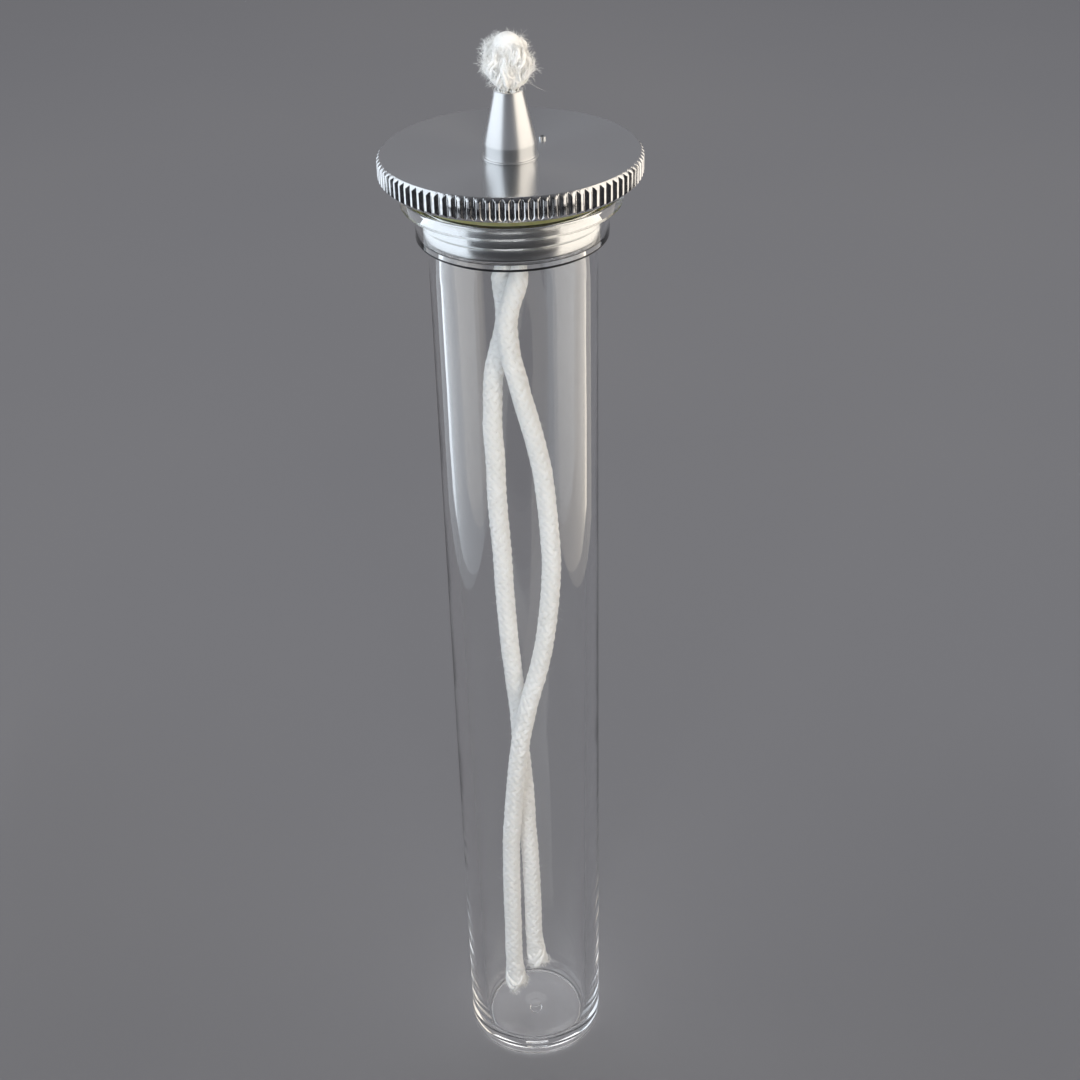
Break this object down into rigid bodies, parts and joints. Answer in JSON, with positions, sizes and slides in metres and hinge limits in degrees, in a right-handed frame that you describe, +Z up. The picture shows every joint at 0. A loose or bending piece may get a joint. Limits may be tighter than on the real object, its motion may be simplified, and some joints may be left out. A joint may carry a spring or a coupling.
{
  "type": "alcohol burner",
  "caption": "Tall clear tube closed by a knurled turned cap with a conical wick nozzle; braided wick strands hang inside down to the floor.",
  "frame": {"origin": "centre of the tube's foot, on the surface that it stands on", "axes": "+Z up along the tube's axis; +X to the right and +Y away when the long wick strand passes in front of the short one"},
  "size_m": [0.046, 0.046, 0.2269],
  "materials": {
    "clear_plastic": "clear, polished",
    "olive_rubber": "matt",
    "turned_aluminium": "fine turned, satin",
    "polished_aluminium": "turned and polished",
    "cotton": "braided cotton"
  },
  "bodies": {
    "tube_body": {"tube": "clear_plastic"},
    "seal_ring": {"gasket": "olive_rubber"},
    "cap_assembly": {"cap": "turned_aluminium", "nozzle": "polished_aluminium", "nozzle_nut": "turned_aluminium"},
    "wick": {"wick_head": "cotton", "wick_neck": "cotton", "wick_strand_long": "cotton", "wick_strand_short": "cotton"}
  },
  "joints": [
    {"name": "cap_lift", "type": "slide", "parent": "tube_body", "child": "seal_ring", "axis": [0, 0, 1], "range_m": [0, 0.2]},
    {"name": "cap_turn", "type": "hinge", "parent": "seal_ring", "child": "cap_assembly", "pos_m": [0, 0, 0.2023], "axis": [0, 0, 1], "continuous": true},
    {"name": "wick_feed", "type": "slide", "parent": "cap_assembly", "child": "wick", "axis": [0, 0, 1], "range_m": [0, 0.0045]}
  ]
}
